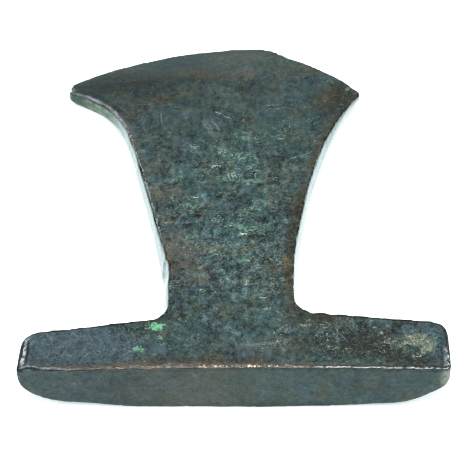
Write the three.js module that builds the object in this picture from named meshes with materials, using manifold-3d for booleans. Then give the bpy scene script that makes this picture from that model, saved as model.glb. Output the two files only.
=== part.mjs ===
// Bronze axe head of the T shape: a flared blade on a short neck, with two lugs
// at the butt that the haft binding hooks behind. It was cast in one piece in an
// open mould, so its top is flat with a crisp arris all round, and its sides belly
// out a little and roll under to a flat underside. It lies on that underside.
//
// Millimetres, +Z up. X runs along the lugs and +Y from the butt to the edge.
// The model is made with the butt face on y = 0, and centred on Y at the end.

import * as THREE from 'three';
import * as BufferGeometryUtils from 'three/addons/utils/BufferGeometryUtils.js';
import Module from 'manifold-3d';

const wasm = await Module();
wasm.setup();

// Overall sizes
const lugSpan = 120;
const axeLength = 138;
const buttThickness = 19.4;
const topFall = Math.tan(THREE.MathUtils.degToRad(6));

// Lugs. The left one is a little shallower, lower and rounder than the right one.
const lugs = {
  left: {
    rootDepth: 18.6, endDepth: 14.4, droop: 1.9, cornerRadius: 4.6, endTaper: 0.7,
    keelRun: 16, keelRise: 12.4, keelPower: 2.0,
  },
  right: {
    rootDepth: 21.7, endDepth: 17.7, droop: 0.7, cornerRadius: 4.2, endTaper: 0.1,
    keelRun: 14, keelRise: 10.0, keelPower: 1.36,
  },
};
const lugKeelBow = 1.7;
const lugKeelBowPower = 1.5;
const lugFrontRound = 5.5;
const lugRoundLimit = { ofWall: 0.6, ofDepth: 0.45 };
const buttLowerRound = 1.4;
const buttCornerRound = 1.4;

// Neck and flare of the blade, each side measured from the middle of the lugs. The
// right side rolls under further at its horn, which is thin at the rim.
const sides = {
  left: {
    neck: 18.1, flare: 0.22, belly: 1.6,
    hornReach: 50.6, hornLift: 21, hornSweep: 6.4, hornRoundShare: 0.42,
  },
  right: {
    neck: 16.5, flare: 0.1, belly: 0.6,
    hornReach: 39, hornLift: 23, hornSweep: 23.5, hornRoundShare: 0.95,
  },
};
const neckFillet = 6.5;
const neckLength = 21;
const wallRound = 8;
const wallRoundShare = 0.42;
const hornRoundRun = 26;
const shoulderHeightShare = 0.8;
const shoulderBellyShare = 2 / 3;

// Cutting edge, struck about a centre behind the crown. A piece has gone from its
// right part, which is blunt and lies a few millimetres further back.
const crownX = 2.6;
const edgeRadius = 88;
const nickStart = 5;
const nickRun = 12;
const nickDepth = 7.2;
const nickCurve = { shoulderRun: 0.45, shoulderDrop: 0.3, crownRun: 0.5, crownDrop: 0.1 };
const rightEdgeSag = 1.7;
const hornTipRound = 3;
const rightTipWear = { below: 1.5, bend: 0.6, above: 1.2, inset: 0.4 };
const edgeBevel = {
  setback: 24.5, inset: 6, cant: 17.4, fall: Math.tan(THREE.MathUtils.degToRad(11.5)),
};
const underBevelWidth = 10;
const underBevelRise = 1.2;

// How finely the round forms are cut into facets
const cornerSteps = 5;
const keelSteps = 10;
const stationGap = 6;
const hornStationGap = 2;
const hornStationRun = 9;
const edgeSteps = 16;
const underBevelSteps = 120;

const aboveTop = buttThickness + 8;
const clearOfPart = 12;
const lugHalf = lugSpan / 2;

function toManifold(geometry) {
  const bare = geometry.clone();
  bare.deleteAttribute('normal');
  bare.deleteAttribute('uv');
  const merged = BufferGeometryUtils.mergeVertices(bare, 1e-5);
  return new wasm.Manifold(new wasm.Mesh({
    numProp: 3,
    vertProperties: new Float32Array(merged.attributes.position.array),
    triVerts: new Uint32Array(merged.index.array),
  }));
}

function fromManifold(manifold) {
  const mesh = manifold.getMesh();
  const geometry = new THREE.BufferGeometry();
  geometry.setAttribute('position', new THREE.BufferAttribute(mesh.vertProperties, 3));
  geometry.setIndex(new THREE.BufferAttribute(mesh.triVerts, 1));
  geometry.computeVertexNormals();
  return geometry;
}

// A closed skin over sections of equal point counts, each a convex loop that runs
// anticlockwise seen from the far end of the row.
function loft(sections) {
  const count = sections[0].length;
  const positions = sections.flat().flatMap((point) => point.toArray());
  const index = [];
  for (let s = 0; s < sections.length - 1; s++) {
    for (let i = 0; i < count; i++) {
      const a = s * count + i;
      const b = s * count + (i + 1) % count;
      index.push(a, b, b + count);
      index.push(a, b + count, a + count);
    }
  }
  const last = (sections.length - 1) * count;
  for (let i = 1; i < count - 1; i++) {
    index.push(0, i + 1, i);
    index.push(last, last + i, last + i + 1);
  }
  const geometry = new THREE.BufferGeometry();
  geometry.setAttribute('position', new THREE.Float32BufferAttribute(positions, 3));
  geometry.setIndex(index);
  return geometry;
}

// A block that reaches far below and around the part, with its top on the plane
// through a point that rises by slopeX and slopeY for each millimetre along X and Y.
function blockUnder(point, slopeX, slopeY) {
  const reach = 2 * (lugSpan + axeLength);
  const geometry = new THREE.BoxGeometry(reach, reach, 2 * aboveTop);
  const position = geometry.attributes.position;
  for (let i = 0; i < position.count; i++) {
    if (position.getZ(i) > 0) {
      const rise = slopeX * (position.getX(i) - point.x) + slopeY * (position.getY(i) - point.y);
      position.setZ(i, point.z + rise);
    }
    else {
      position.setZ(i, -reach);
    }
  }
  return toManifold(geometry);
}

function topAt(y) {
  return buttThickness - topFall * y;
}

// Points of a quarter round in a section, between two angles in degrees
function quarterRound(centreU, centreV, radius, fromDegrees, toDegrees) {
  const points = [];
  for (let i = 0; i <= cornerSteps; i++) {
    const degrees = THREE.MathUtils.lerp(fromDegrees, toDegrees, i / cornerSteps);
    const angle = THREE.MathUtils.degToRad(degrees);
    points.push([centreU + radius * Math.cos(angle), centreV + radius * Math.sin(angle)]);
  }
  return points;
}

function sideOf(x) {
  return x < 0 ? 'left' : 'right';
}

// How far a round corner has drawn back from its edge, at a distance into it
function cornerDrop(radius, into) {
  const reach = THREE.MathUtils.clamp(into, 0, radius);
  return radius - Math.sqrt(radius ** 2 - reach ** 2);
}

// The lug's front face, towards the blade: deepest at the neck, less at the ends,
// where its corner is rounded off in plan.
function lugDepthAt(x) {
  const { rootDepth, endDepth, cornerRadius } = lugs[sideOf(x)];
  const rootX = sides[sideOf(x)].neck;
  const along = (Math.abs(x) - rootX) / (lugHalf - rootX);
  if (along < 0) {
    const across = THREE.MathUtils.inverseLerp(-sides.left.neck, sides.right.neck, x);
    return THREE.MathUtils.lerp(lugs.left.rootDepth, lugs.right.rootDepth, across);
  }
  const depth = THREE.MathUtils.lerp(rootDepth, endDepth, along);
  return depth - cornerDrop(cornerRadius, Math.abs(x) - lugHalf + cornerRadius);
}

// The lug's underside, like a boat's keel: bowed a little along its length and
// swept up into a big round corner at the end.
function lugKeelAt(x) {
  const { keelRun, keelRise, keelPower } = lugs[sideOf(x)];
  const flatHalf = sides[sideOf(x)].neck + neckFillet;
  const bowShare = Math.max(0, (Math.abs(x) - flatHalf) / (lugHalf - keelRun - flatHalf));
  const bow = lugKeelBow * Math.min(1, bowShare) ** lugKeelBowPower;
  const u = Math.max(0, (Math.abs(x) - (lugHalf - keelRun)) / keelRun);
  const sweep = 1 - Math.pow(Math.max(0, 1 - Math.pow(u, keelPower)), 1 / keelPower);
  return bow + keelRise * sweep;
}

function lugSection(x) {
  const keel = lugKeelAt(x);
  const depth = lugDepthAt(x);
  const butt = cornerDrop(buttCornerRound, Math.abs(x) - lugHalf + buttCornerRound);
  const { droop, endTaper } = lugs[sideOf(x)];
  const wall = topAt(depth) - droop - keel;
  const { ofWall, ofDepth } = lugRoundLimit;
  const frontRound = Math.min(lugFrontRound, ofWall * wall, ofDepth * (depth - butt));
  const lowerRound = Math.min(buttLowerRound, wall / 2);
  const profile = [
    [butt, aboveTop],
    ...quarterRound(butt + lowerRound, keel + lowerRound, lowerRound, 180, 270),
    ...quarterRound(depth - frontRound, keel + frontRound, frontRound, 270, 360),
    [depth, aboveTop],
  ];
  const endShare = THREE.MathUtils.smoothstep(Math.abs(x), lugHalf / 2, lugHalf);
  return profile.map(([y, z]) => {
    const taper = endTaper * endShare * (y - butt) / (depth - butt);
    return new THREE.Vector3(x - Math.sign(x) * taper, y, z);
  });
}

// Stations along one lug, from the neck out, closer together on the swept corner
function lugStations(side) {
  const { keelRun } = lugs[side];
  const flatHalf = sides[side].neck + neckFillet;
  const stations = [];
  const straight = lugHalf - keelRun - flatHalf;
  const straightSteps = Math.max(2, Math.round(straight / stationGap));
  for (let i = 0; i < straightSteps; i++) {
    stations.push(flatHalf + straight * i / straightSteps);
  }
  for (let i = 0; i <= keelSteps; i++) {
    stations.push(lugHalf - keelRun + keelRun * Math.sin(0.5 * Math.PI * i / keelSteps));
  }
  return stations;
}

function makeLugBar() {
  const left = lugStations('left').map((x) => -x).reverse();
  const right = lugStations('right');
  const stations = [...left, -sides.left.neck, 0, sides.right.neck, ...right];
  return toManifold(loft(stations.map(lugSection)));
}

// Where the blade's side runs at a distance y from the butt: a round fillet out of
// the lug, a nearly straight neck, a steady flare, and a quick sweep to the horn.
function bladeSideAt(side, y) {
  const { neck, flare, hornReach, hornLift, hornSweep } = sides[side];
  const lugFront = lugDepthAt(side === 'left' ? -neck - neckFillet : neck + neckFillet);
  const flareStart = lugFront + neckLength;
  const hornY = axeLength - hornLift;
  const run = y - flareStart;
  const softening = neckLength / 4;
  const steady = flare * softening * Math.log1p(Math.exp(run / softening));
  const atHorn = hornReach - neck - flare * (hornY - flareStart);
  const sweep = atHorn * Math.exp((y - hornY) / hornSweep);
  const fillet = cornerDrop(neckFillet, lugFront + neckFillet - y);
  return neck + steady + sweep + fillet;
}

// The radius of the lower round on one side of the blade
function sideRoundAt(side, y) {
  const { hornLift, hornRoundShare } = sides[side];
  const hornY = axeLength - hornLift;
  const towardsHorn = THREE.MathUtils.smoothstep(y, hornY - hornRoundRun, hornY);
  const share = THREE.MathUtils.lerp(wallRoundShare, hornRoundShare, towardsHorn);
  return Math.min(wallRound, share * topAt(y));
}

function bladeSection(y) {
  const left = bladeSideAt('left', y);
  const right = bladeSideAt('right', y);
  const leftRound = sideRoundAt('left', y);
  const rightRound = sideRoundAt('right', y);
  const top = topAt(y);
  const bellyShare = top / buttThickness;
  const leftBelly = left + sides.left.belly * bellyShare;
  const rightBelly = right + sides.right.belly * bellyShare;
  const leftShoulder = Math.max(leftRound, shoulderHeightShare * top);
  const rightShoulder = Math.max(rightRound, shoulderHeightShare * top);
  const profile = [
    [right, aboveTop],
    [right, top],
    [THREE.MathUtils.lerp(right, rightBelly, shoulderBellyShare), rightShoulder],
    ...quarterRound(rightBelly - rightRound, rightRound, rightRound, 0, -90),
    ...quarterRound(leftRound - leftBelly, leftRound, leftRound, -90, -180),
    [-THREE.MathUtils.lerp(left, leftBelly, shoulderBellyShare), leftShoulder],
    [-left, top],
    [-left, aboveTop],
  ];
  return profile.map(([x, z]) => new THREE.Vector3(x, y, z));
}

// Stations from inside the lugs to past the crown. Both fillets get their own.
function bladeStations() {
  const stations = new Set();
  const innermost = Math.min(lugs.left.endDepth, lugs.right.endDepth) / 2;
  stations.add(innermost);
  let filletEnd = 0;
  for (const side of ['left', 'right']) {
    const reach = sides[side].neck + neckFillet;
    const lugFront = lugDepthAt(side === 'left' ? -reach : reach);
    for (let i = 0; i <= cornerSteps; i++) {
      const angle = 0.5 * Math.PI * i / cornerSteps;
      stations.add(lugFront + neckFillet * (1 - Math.cos(angle)));
    }
    filletEnd = Math.max(filletEnd, lugFront + neckFillet);
  }
  const hornStart = axeLength - edgeBevel.setback - hornStationRun;
  for (let y = filletEnd + stationGap; y < hornStart; y += stationGap) {
    stations.add(y);
  }
  for (let y = hornStart; y < axeLength; y += hornStationGap) {
    stations.add(y);
  }
  stations.add(axeLength + clearOfPart / 2);
  return [...stations].sort((a, b) => a - b);
}

// The edge seen from above: the long arc on the left, the broken shoulder, the
// shorter blunt arc on the right, and the horns with their worn tips.
function makeEdgeOutline() {
  const centreY = axeLength - edgeRadius;
  const leftHorn = sides.left.hornReach;
  const rightHorn = sides.right.hornReach;
  const onArc = (x) => centreY + Math.sqrt(edgeRadius ** 2 - (x - crownX) ** 2);
  const nickX = crownX + nickStart;
  const shoulder = new THREE.Vector2(nickX + nickRun, onArc(nickX) - nickDepth);
  const rightTip = new THREE.Vector2(rightHorn, axeLength - sides.right.hornLift);
  const chord = rightTip.clone().sub(shoulder);
  const bulge = new THREE.Vector2(-chord.y, chord.x).setLength(2 * rightEdgeSag);
  const control = shoulder.clone().addScaledVector(chord, 0.5).add(bulge);
  const tipX = -leftHorn + hornTipRound / 2;
  const { below, bend, above, inset } = rightTipWear;
  const outline = new THREE.Shape();
  outline.moveTo(-leftHorn, -clearOfPart);
  outline.lineTo(rightHorn, -clearOfPart);
  outline.lineTo(rightHorn, rightTip.y - below);
  outline.quadraticCurveTo(rightHorn, rightTip.y + bend, rightHorn - inset, rightTip.y + above);
  outline.quadraticCurveTo(control.x, control.y, shoulder.x, shoulder.y);
  outline.bezierCurveTo(
    shoulder.x - nickCurve.shoulderRun * nickRun, shoulder.y + nickCurve.shoulderDrop * nickDepth,
    nickX + nickCurve.crownRun * nickRun, onArc(nickX) - nickCurve.crownDrop * nickDepth,
    nickX, onArc(nickX),
  );
  const arcStart = Math.atan2(onArc(nickX) - centreY, nickStart);
  outline.absarc(crownX, centreY, edgeRadius, arcStart, 0.5 * Math.PI, false);
  const arcEnd = Math.atan2(onArc(tipX) - centreY, tipX - crownX);
  outline.absarc(crownX, centreY, edgeRadius, 0.5 * Math.PI, arcEnd, false);
  const tipY = onArc(tipX);
  outline.quadraticCurveTo(-leftHorn, tipY - hornTipRound, -leftHorn, tipY - 2 * hornTipRound);
  const geometry = new THREE.ExtrudeGeometry(outline, {
    depth: aboveTop + 2 * clearOfPart, bevelEnabled: false, curveSegments: edgeSteps,
  });
  geometry.translate(0, 0, -clearOfPart);
  return toManifold(geometry);
}

// The shallow bevel that was ground on the underside of the edge
function makeUnderBevel() {
  const slope = underBevelRise / underBevelWidth;
  const inner = edgeRadius - underBevelWidth - 1 / slope;
  const outer = edgeRadius + clearOfPart;
  const profile = [
    new THREE.Vector2(inner, -1),
    new THREE.Vector2(outer, -1),
    new THREE.Vector2(outer, slope * (outer - inner) - 1),
    new THREE.Vector2(inner, -1),
  ];
  const ring = new THREE.LatheGeometry(profile, underBevelSteps);
  ring.rotateX(0.5 * Math.PI);
  ring.translate(crownX, axeLength - edgeRadius, 0);
  return toManifold(ring);
}

function makeBlade() {
  const blank = toManifold(loft(bladeStations().map(bladeSection)));
  return blank.intersect(makeEdgeOutline()).subtract(makeUnderBevel());
}

// The flat top falls from the butt to the edge. The lugs droop a little further
// towards their ends, and a long bevel canted towards the left horn forms the edge.
function trimTop(casting) {
  const { setback, inset, cant, fall } = edgeBevel;
  const cantAngle = THREE.MathUtils.degToRad(cant);
  const creaseY = axeLength - setback;
  const crease = new THREE.Vector3(inset - sides.left.hornReach, creaseY, topAt(creaseY));
  const leftStart = new THREE.Vector3(-sides.left.neck, 0, buttThickness);
  const rightStart = new THREE.Vector3(sides.right.neck, 0, buttThickness);
  const leftDroop = lugs.left.droop / (lugHalf - sides.left.neck);
  const rightDroop = lugs.right.droop / (lugHalf - sides.right.neck);
  return casting
    .intersect(blockUnder(new THREE.Vector3(0, 0, buttThickness), 0, -topFall))
    .intersect(blockUnder(leftStart, leftDroop, -topFall))
    .intersect(blockUnder(rightStart, -rightDroop, -topFall))
    .intersect(blockUnder(crease, fall * Math.sin(cantAngle), -topFall - fall * Math.cos(cantAngle)));
}

const bronze = new THREE.MeshStandardMaterial({
  name: 'bronze', color: 0x3d4442, roughness: 0.5, metalness: 0.6,
});

function makeAxeHead() {
  const casting = makeLugBar().add(makeBlade());
  const mesh = new THREE.Mesh(fromManifold(trimTop(casting)), bronze);
  mesh.name = 'axe_head';
  return mesh;
}

const axe = new THREE.Group();
axe.add(makeAxeHead());
axe.position.y = -axeLength / 2;

export default axe;
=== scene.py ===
# A bronze axe head of the T shape, cast in one piece and lying on its underside.
# The casting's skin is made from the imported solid, worn and pitted, and patinated.

import math

import bmesh
import bpy
import numpy as np
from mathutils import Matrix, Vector, kdtree, noise


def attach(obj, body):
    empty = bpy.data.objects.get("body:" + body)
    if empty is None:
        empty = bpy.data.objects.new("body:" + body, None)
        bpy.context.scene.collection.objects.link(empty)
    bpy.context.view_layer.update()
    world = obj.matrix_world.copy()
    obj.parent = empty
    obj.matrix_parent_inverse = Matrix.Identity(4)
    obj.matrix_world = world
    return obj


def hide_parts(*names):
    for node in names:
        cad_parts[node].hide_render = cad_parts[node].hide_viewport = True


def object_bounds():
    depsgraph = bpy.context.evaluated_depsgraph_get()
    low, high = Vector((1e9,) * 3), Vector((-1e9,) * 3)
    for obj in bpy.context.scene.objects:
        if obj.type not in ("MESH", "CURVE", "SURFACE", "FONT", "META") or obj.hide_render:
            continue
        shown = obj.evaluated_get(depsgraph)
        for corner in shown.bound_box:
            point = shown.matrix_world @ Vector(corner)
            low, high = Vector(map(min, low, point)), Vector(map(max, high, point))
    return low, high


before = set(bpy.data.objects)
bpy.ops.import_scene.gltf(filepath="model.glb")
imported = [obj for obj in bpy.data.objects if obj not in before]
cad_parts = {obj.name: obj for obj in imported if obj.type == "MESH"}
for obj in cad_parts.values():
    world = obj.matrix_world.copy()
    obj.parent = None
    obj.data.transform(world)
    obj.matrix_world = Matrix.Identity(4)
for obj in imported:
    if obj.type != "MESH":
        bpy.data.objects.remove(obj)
cad_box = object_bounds()


# Casting
# One piece of tin bronze from an open mould: a flat top with a crisp arris, sides
# that belly and roll under, and two lugs. The skin is drawn tight over the packed
# solid in small even squares, so that it can carry wear, dents and pits.

MM = 0.001
SAME_PLACE = 0.001 * MM
SKIN_SQUARE = 0.56 * MM
ARRIS_SOFTENING = 2
LIP_BAND = 2.2 * MM
BUTT_Y = cad_box[0].y
TOP_Z = cad_box[1].z
TOP_FALL = math.tan(math.radians(6))


def merged_blank(node):
    blank = bmesh.new()
    blank.from_mesh(node.data)
    bmesh.ops.remove_doubles(blank, verts=blank.verts, dist=SAME_PLACE)
    blank.normal_update()
    return blank


def draw_skin(blank, name):
    mesh = bpy.data.meshes.new(name + "_blank")
    blank.to_mesh(mesh)
    former = bpy.data.objects.new(name + "_blank", mesh)
    bpy.context.scene.collection.objects.link(former)
    remesh = former.modifiers.new("skin", "REMESH")
    remesh.mode = "VOXEL"
    remesh.voxel_size = SKIN_SQUARE
    graph = bpy.context.evaluated_depsgraph_get()
    skin_mesh = bpy.data.meshes.new_from_object(former.evaluated_get(graph))
    skin_mesh.name = name
    bpy.data.objects.remove(former)
    skin = bpy.data.objects.new(name, skin_mesh)
    bpy.context.scene.collection.objects.link(skin)
    return skin


def below_top(point):
    return TOP_Z - TOP_FALL * (point.y - BUTT_Y) - point.z


def refine_lip(skin):
    # The lip along the butt arris is thinner than a square, so it gets a finer mesh.
    worked = bmesh.new()
    worked.from_mesh(skin.data)
    near = []
    for face in worked.faces:
        centre = face.calc_center_median()
        if centre.y - BUTT_Y < LIP_BAND and below_top(centre) < 2 * LIP_BAND:
            near.append(face)
    edges = list({edge for face in near for edge in face.edges})
    bmesh.ops.subdivide_edges(worked, edges=edges, cuts=1, use_grid_fill=True)
    for _ in range(ARRIS_SOFTENING):
        bmesh.ops.smooth_vert(
            worked, verts=worked.verts, factor=0.5,
            use_axis_x=True, use_axis_y=True, use_axis_z=True,
        )
    bmesh.ops.triangulate(worked, faces=[face for face in worked.faces if len(face.verts) > 4])
    worked.to_mesh(skin.data)
    worked.free()
    for polygon in skin.data.polygons:
        polygon.use_smooth = True


blank = merged_blank(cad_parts["axe_head"])
axe = draw_skin(blank, "axe_casting")
refine_lip(axe)


# Wear and relief
# The arrises are rubbed round, the butt's top edge is hammered over into a small lip,
# the horn is notched and a lug corner is chipped. The skin stands a tenth of a
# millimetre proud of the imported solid, and is uneven, dented and pitted as cast.

# How far out the skin is drawn, and for each kind of unevenness its wavelength and depth
SKIN_DRAW = 0.12 * MM
BROAD_WAVE, BROAD_DEPTH = 24 * MM, 0.34 * MM
MIDDLE_WAVE, MIDDLE_DEPTH = 7 * MM, 0.14 * MM
FINE_WAVE, FINE_DEPTH = 2.2 * MM, 0.07 * MM
PIT_WAVE, PIT_DEPTH = 1.7 * MM, 0.20 * MM
NICK_WAVE, NICK_DEPTH = 3.4 * MM, 0.45 * MM
RUB_WAVE = 11 * MM
WORN_WAVE = 5 * MM
RAGGED_WAVE = 6 * MM

# Levels of the noise between which a pit or a nick sinks in
PIT_LEVELS = (0.30, 0.62)
NICK_LEVELS = (0.05, 0.55)

# How smooth the skin is on three parts, and how far smooth skin and walls calm the rest
SMOOTH_BUTT, SMOOTH_BEVEL, SMOOTH_LUG = 0.52, 0.85, 0.25
FINE_CALMED, PITS_CALMED = 0.6, 0.85

# An arris is an edge between a wall and a top that tilt past these
WALL_TILT, TOP_TILT = 0.75, 0.9
BUTT_REACH = 0.2 * MM
CUTTING_EDGE_TILT = 0.3
CUTTING_EDGE_Y = 40 * MM
ARRIS_STEP = 0.2 * MM

# Levels of a normal between which a place counts as on the butt, the top or a wall
BUTT_FACING = (0.75, 0.95)
TOP_FACING = (0.90, 0.98)
WALL_ENDS = (0.35, 0.75)
TURNED_UP = 0.6

# The line where the edge's bevel begins: a place on it, its slope, and the width it takes
BEVEL_PLACE = (-44.6, 44.5)
BEVEL_SLOPE = 0.314
BEVEL_FADE = (-3.0, 3.0)

# Lines of stops, each a place along x or y in millimetres and a value there
BUTT_HEIGHT = ((-60, 17.5), (-18.1, 19.4), (16.5, 19.4), (60, 18.7))
NICKED = ((-52, 0.3), (-44, 1))
WORN_ARRIS = ((-24, 0), (-14, 1), (20, 1), (30, 0))
LEFT_RIM = ((8, 0), (14, 1), (34, 1), (40, 0))
# How strongly the painted highlight and shade along the left horn's rim show, along x
HORN_RIM = ((-51, 0.25), (-47, 0.45), (-41, 1), (-35, 0.9), (-31, 0))
LIP_DROP = ((-60, 1.6), (-56, 1.4), (-52, 0.7), (-46, 0))
LIP_BROWN_PARTS = (
    (-60, 0.35), (-52, 0.2), (-36, 0.9), (-8, 0.9), (26, 0.7), (40, 0.6), (48, 0.1),
)
# Where along x the painted white highlight line shows on the butt arris, with an umber line above
# it
LIP_BRIGHT_PARTS = (
    (-60, 0.1), (-54, 0.3), (-49, 0.2), (-40, 0.05), (14, 0.2), (24, 0.9), (60, 1),
)
# Where along x the lilac sheen is painted on the butt arris
LIP_LILAC_PARTS = ((-60, 0.3), (-58, 1), (-52, 0.9), (-44, 0))
# Where along x the gold glints, bare bronze painted bright, show on the butt arris
LIP_GOLD_PARTS = (
    (-44, 0.1), (-12, 0.3), (-7, 1), (-2, 0.4), (3, 0.9), (10, 0.9), (16, 0.2), (40, 0.1),
)
CONTRAST = ((-69, 0.64), (-58, 0.70), (-45, 0.85), (-25, 1), (10, 1.08), (30, 0.62), (50, 0.50))
GRAIN = ((-69, 0.66), (-58, 0.66), (-45, 0.68), (-25, 0.98), (5, 0.26), (25, 0.08), (50, 0.05))

# The rubbing of the butt arris, most of all about one place along x
RUBBED, RUBBED_SWING = 0.9, 0.9
RUBBED_MORE, RUBBED_MOST_X, RUBBED_FADE = 1.1, -22, (8, 22)

# Strips beside the arrises and parts of the outline, each by the two places in
# millimetres between which it fades in or out
ARRIS_WIDTH = (0.5, 1.1)
RIGHT_RIM_WIDTH, RIGHT_RIM_X, RIGHT_RIM_Y = (1.4, 3.6), (8, 12), (-49, -46)
LEFT_RIM_WIDTH = (1.2, 2.3)
LUG_RIM_WIDTH, LUG_RIM_Y = (0.6, 1.8), (-47, -44)
GLOSS_Y = (-49, -45)
DULL_BESIDE_WORN = (-1.8, -1.4)
UNDER_LIP = (0.7, 1.3)
GROOVE_FOOT = (1.3, 2.2)
GROOVE_MIDDLE_X, GROOVE_FADE = -30, (-8, 20)
FACET_HEAD, FACET_FOOT = (1.0, 2.0), (6, 11)
BUTT_FOOT = (15.5, 18.5)
STEP_X, STEP_START_Y, STEP_END_Y = (-14.5, -17.5), (-26, -27.2), (-37, -31)

CORNER_REACH = 22
WORN_REACH = 0.35
WORN_SLOPE = 0.5
UNDER_LIP_DEPTH = 0.25
GROOVE_DEPTH = 0.22
STEP_DEPTH = 0.55
NOTCH_PLACE = (-49.7, 48.9)
NOTCH_WIDTH = (0.35, 1.2)
NOTCH_PUSH = (1.1, -0.3, 0.0)
FAR = 20


def read_vectors(mesh, field):
    values = np.empty(3 * len(mesh.vertices))
    mesh.vertices.foreach_get(field, values)
    return values.reshape(-1, 3)


def noise_at(points, wavelength, seed):
    offset = np.array([seed * 17.3, seed * 5.9, seed * 11.1])
    scaled = points / wavelength + offset
    return np.array([noise.noise(Vector(point)) for point in scaled])


def smooth_step(low, high, values):
    share = np.clip((values - low) / (high - low), 0, 1)
    return share * share * (3 - 2 * share)


def trace_arris(blank, on_the_butt):
    # Places along the sharp edge round the top, on the butt or round the sides, and at
    # each one the direction outwards
    places, outwards = [], []
    for edge in blank.edges:
        if len(edge.link_faces) != 2:
            continue
        wall, top = sorted(edge.link_faces, key=lambda face: face.normal.z)
        if wall.normal.z > WALL_TILT or top.normal.z < TOP_TILT:
            continue
        start, end = (vert.co for vert in edge.verts)
        at_butt = max(start.y, end.y) < BUTT_Y + BUTT_REACH
        at_cutting_edge = wall.normal.y > CUTTING_EDGE_TILT and start.y > CUTTING_EDGE_Y
        if at_butt != on_the_butt or at_cutting_edge:
            continue
        steps = math.ceil(edge.calc_length() / ARRIS_STEP)
        places += [start.lerp(end, step / steps) for step in range(steps + 1)]
        outwards += [wall.normal.copy()] * (steps + 1)
    return places, np.array(outwards)


def find_nearest(places, points):
    # For each point the number of the nearest place, and its distance in millimetres
    tree = kdtree.KDTree(len(places))
    for number, place in enumerate(places):
        tree.insert(place, number)
    tree.balance()
    found = [tree.find(Vector(point)) for point in points]
    return np.array([hit[1] for hit in found]), np.array([hit[2] for hit in found]) / MM


def patch(points, centre, reach):
    # A soft round patch in plan: 1 in its middle and 0 past its reach
    apart = (points[:, :2] / MM - np.array(centre)) / np.array(reach)
    return 1 - smooth_step(0.35, 1.0, np.hypot(apart[:, 0], apart[:, 1]))


def patches(points, places):
    total = np.zeros(len(points))
    for centre, reach, strength in places:
        total = np.maximum(total, strength * patch(points, centre, reach))
    return total


def follow(values, stops):
    places, levels = zip(*stops)
    return np.interp(values, places, levels)


def store(mesh, name, values):
    layer = mesh.attributes.new(name, "FLOAT", "POINT")
    layer.data.foreach_set("value", values.astype(np.float32))


points = read_vectors(axe.data, "co")
normals = read_vectors(axe.data, "normal")
from_butt = (points[:, 1] - BUTT_Y) / MM
across = points[:, 0] / MM
along = points[:, 1] / MM

on_butt = smooth_step(*BUTT_FACING, -normals[:, 1])
on_top = smooth_step(*TOP_FACING, normals[:, 2])
on_wall = (1 - smooth_step(*WALL_ENDS, np.abs(normals[:, 2]))) * (1 - on_butt)
past_bevel_line = (along - BEVEL_PLACE[1]) - BEVEL_SLOPE * (across - BEVEL_PLACE[0])
on_bevel = on_top * smooth_step(*BEVEL_FADE, past_bevel_line)

faces_up = normals[:, 2] > TURNED_UP
side_places, outwards = trace_arris(blank, False)
nearest, from_side = find_nearest(side_places, points)
from_side = np.where(faces_up, from_side, -from_side)
butt_places = trace_arris(blank, True)[0]
from_lip = find_nearest(butt_places, points)[1]
from_lip = np.where(faces_up, from_lip, -from_lip)
blank.free()
side_arris = 1 - smooth_step(*ARRIS_WIDTH, np.abs(from_side))
below_line = follow(across, BUTT_HEIGHT) - points[:, 2] / MM

# The butt arris is rubbed most a little left of its middle.
rubbed = RUBBED + RUBBED_SWING * noise_at(points * np.array([1, 0, 0]), RUB_WAVE, 6)
rubbed += RUBBED_MORE * (1 - smooth_step(*RUBBED_FADE, np.abs(across - RUBBED_MOST_X)))
butt_arris = 1 - smooth_step(0.4 * rubbed, 1.2 * rubbed, from_butt)
butt_arris *= 1 - smooth_step(*ARRIS_WIDTH, below_line)

# The middle and the reach of the smooth skin on the left lug and the coarse on the right
LEFT_LUG = ((-44, -61), (26, 10))
RIGHT_LUG = ((40, -60), (26, 12))
smooth_skin = SMOOTH_BUTT * on_butt + SMOOTH_BEVEL * on_bevel
smooth_skin += SMOOTH_LUG * on_top * patch(points, *LEFT_LUG)
calm = np.maximum(smooth_skin, on_wall)

relief = SKIN_DRAW + BROAD_DEPTH * noise_at(points, BROAD_WAVE, 1)
relief += MIDDLE_DEPTH * noise_at(points, MIDDLE_WAVE, 2)
relief += FINE_DEPTH * noise_at(points, FINE_WAVE, 3) * (1 - FINE_CALMED * calm)
pits = smooth_step(*PIT_LEVELS, noise_at(points, PIT_WAVE, 4))
relief -= PIT_DEPTH * pits * (1 - PITS_CALMED * calm)
nicks = smooth_step(*NICK_LEVELS, noise_at(points, NICK_WAVE, 5))
nicks *= np.clip(side_arris + 0.5 * butt_arris, 0, 1) * follow(along, NICKED)
relief -= NICK_DEPTH * nicks
points += normals * relief[:, None]

# The left arris of the shaft is worn to a narrow slope.
worn = follow(along, WORN_ARRIS) * (across < 0)
worn *= np.clip(0.85 + 0.8 * noise_at(points, WORN_WAVE, 9), 0.3, 1.2)
slope = np.clip(WORN_REACH * worn - np.abs(from_side), 0, None)
inwards = -outwards[nearest] * np.array([1, 1, 0]) - np.array([0, 0, 1])
points += WORN_SLOPE * MM * slope[:, None] * inwards

# Below the lip the butt face is drawn back, with a fine groove under the lip itself.
facing_butt = smooth_step(0.3, 0.8, -normals[:, 1])
under_lip = smooth_step(*UNDER_LIP, below_line)
groove = under_lip * (1 - smooth_step(*GROOVE_FOOT, below_line))
groove *= smooth_step(*GROOVE_FADE, across - GROOVE_MIDDLE_X)
drawn_back = UNDER_LIP_DEPTH * under_lip + GROOVE_DEPTH * groove
points[:, 1] += MM * facing_butt * drawn_back

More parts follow.
